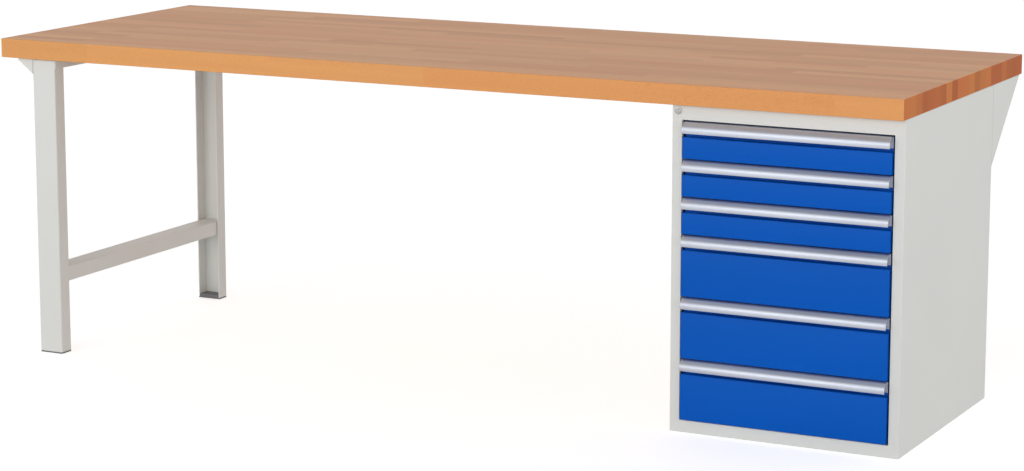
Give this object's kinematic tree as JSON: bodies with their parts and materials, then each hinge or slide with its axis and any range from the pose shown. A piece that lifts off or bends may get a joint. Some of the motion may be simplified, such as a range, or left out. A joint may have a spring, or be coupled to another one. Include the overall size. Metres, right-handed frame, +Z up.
{
  "type": "workbench with drawers",
  "caption": "Workbench: thick beech top on a steel leg frame at the left and a steel drawer cabinet with locking drawers at the right.",
  "frame": {"origin": "on the floor, under the middle of the worktop", "axes": "+X to the right along the worktop's length, +Y to the back, +Z up"},
  "size_m": [2.5, 0.9, 0.84],
  "materials": {
    "beech": "oiled solid beech, glued in long staves",
    "light_grey_paint": "fine-textured powder coat, light grey",
    "blue_enamel": "smooth powder coat, gentian blue",
    "anodised_aluminium": "extruded, satin anodised",
    "zinc_steel": "zinc plated",
    "lock_chrome": "nickel plated, satin",
    "foot_plastic": "moulded, grey"
  },
  "bodies": {
    "bench": {"worktop": "beech", "front_leg": "light_grey_paint", "rear_leg": "light_grey_paint", "crossbar": "light_grey_paint", "head_rail": "light_grey_paint", "front_gusset": "light_grey_paint", "rear_gusset": "light_grey_paint", "front_foot": "foot_plastic", "rear_foot": "foot_plastic", "worktop_screws": "zinc_steel", "left_side_panel": "light_grey_paint", "right_side_panel": "light_grey_paint", "back_panel": "light_grey_paint", "top_panel": "light_grey_paint", "base_panel": "light_grey_paint", "front_header": "light_grey_paint", "front_sill": "light_grey_paint", "left_bracket": "light_grey_paint", "right_bracket": "light_grey_paint", "bracket_bolts": "zinc_steel", "left_slide_posts": "zinc_steel", "right_slide_posts": "zinc_steel", "left_fixed_slides": "zinc_steel", "right_fixed_slides": "zinc_steel", "lock_housing": "lock_chrome", "lock_nut": "lock_chrome", "locking_bar_guides": "zinc_steel"},
    "drawer_1": {"drawer_1_box": "light_grey_paint", "drawer_1_front": "blue_enamel", "drawer_1_grip": "anodised_aluminium", "drawer_1_inner_slides": "zinc_steel"},
    "middle_slides_1": {"drawer_1_middle_slides": "zinc_steel"},
    "drawer_2": {"drawer_2_box": "light_grey_paint", "drawer_2_front": "blue_enamel", "drawer_2_grip": "anodised_aluminium", "drawer_2_inner_slides": "zinc_steel"},
    "middle_slides_2": {"drawer_2_middle_slides": "zinc_steel"},
    "drawer_3": {"drawer_3_box": "light_grey_paint", "drawer_3_front": "blue_enamel", "drawer_3_grip": "anodised_aluminium", "drawer_3_inner_slides": "zinc_steel"},
    "middle_slides_3": {"drawer_3_middle_slides": "zinc_steel"},
    "drawer_4": {"drawer_4_box": "light_grey_paint", "drawer_4_front": "blue_enamel", "drawer_4_grip": "anodised_aluminium", "drawer_4_inner_slides": "zinc_steel"},
    "middle_slides_4": {"drawer_4_middle_slides": "zinc_steel"},
    "drawer_5": {"drawer_5_box": "light_grey_paint", "drawer_5_front": "blue_enamel", "drawer_5_grip": "anodised_aluminium", "drawer_5_inner_slides": "zinc_steel"},
    "middle_slides_5": {"drawer_5_middle_slides": "zinc_steel"},
    "drawer_6": {"drawer_6_box": "light_grey_paint", "drawer_6_front": "blue_enamel", "drawer_6_grip": "anodised_aluminium", "drawer_6_inner_slides": "zinc_steel"},
    "middle_slides_6": {"drawer_6_middle_slides": "zinc_steel"},
    "lock_core": {"lock_core": "lock_chrome", "lock_cam": "zinc_steel"},
    "locking_bar": {"locking_bar": "zinc_steel"}
  },
  "joints": [
    {"name": "drawer_1_slide", "type": "slide", "parent": "bench", "child": "drawer_1", "axis": [0, -1, 0], "range_m": [0, 0.55]},
    {"name": "middle_slides_1_slide", "type": "slide", "parent": "bench", "child": "middle_slides_1", "axis": [0, -1, 0], "range_m": [0, 0.276]},
    {"name": "drawer_2_slide", "type": "slide", "parent": "bench", "child": "drawer_2", "axis": [0, -1, 0], "range_m": [0, 0.55]},
    {"name": "middle_slides_2_slide", "type": "slide", "parent": "bench", "child": "middle_slides_2", "axis": [0, -1, 0], "range_m": [0, 0.276]},
    {"name": "drawer_3_slide", "type": "slide", "parent": "bench", "child": "drawer_3", "axis": [0, -1, 0], "range_m": [0, 0.55]},
    {"name": "middle_slides_3_slide", "type": "slide", "parent": "bench", "child": "middle_slides_3", "axis": [0, -1, 0], "range_m": [0, 0.276]},
    {"name": "drawer_4_slide", "type": "slide", "parent": "bench", "child": "drawer_4", "axis": [0, -1, 0], "range_m": [0, 0.55]},
    {"name": "middle_slides_4_slide", "type": "slide", "parent": "bench", "child": "middle_slides_4", "axis": [0, -1, 0], "range_m": [0, 0.276]},
    {"name": "drawer_5_slide", "type": "slide", "parent": "bench", "child": "drawer_5", "axis": [0, -1, 0], "range_m": [0, 0.55]},
    {"name": "middle_slides_5_slide", "type": "slide", "parent": "bench", "child": "middle_slides_5", "axis": [0, -1, 0], "range_m": [0, 0.276]},
    {"name": "drawer_6_slide", "type": "slide", "parent": "bench", "child": "drawer_6", "axis": [0, -1, 0], "range_m": [0, 0.55]},
    {"name": "middle_slides_6_slide", "type": "slide", "parent": "bench", "child": "middle_slides_6", "axis": [0, -1, 0], "range_m": [0, 0.276]},
    {"name": "lock_turn", "type": "hinge", "parent": "bench", "child": "lock_core", "pos_m": [0.6905, -0.432, 0.775], "axis": [0, -1, 0], "range_deg": [0, 90]},
    {"name": "locking_bar_slide", "type": "slide", "parent": "bench", "child": "locking_bar", "axis": [0, 0, -1], "range_m": [0, 0.01]}
  ],
  "couplings": [
    {"joint": "middle_slides_1_slide", "follows": "drawer_1_slide", "ratio": 0.5},
    {"joint": "middle_slides_2_slide", "follows": "drawer_2_slide", "ratio": 0.5},
    {"joint": "middle_slides_3_slide", "follows": "drawer_3_slide", "ratio": 0.5},
    {"joint": "middle_slides_4_slide", "follows": "drawer_4_slide", "ratio": 0.5},
    {"joint": "middle_slides_5_slide", "follows": "drawer_5_slide", "ratio": 0.5},
    {"joint": "middle_slides_6_slide", "follows": "drawer_6_slide", "ratio": 0.5},
    {"joint": "lock_turn", "follows": "locking_bar_slide", "rad_per_m": 157}
  ]
}
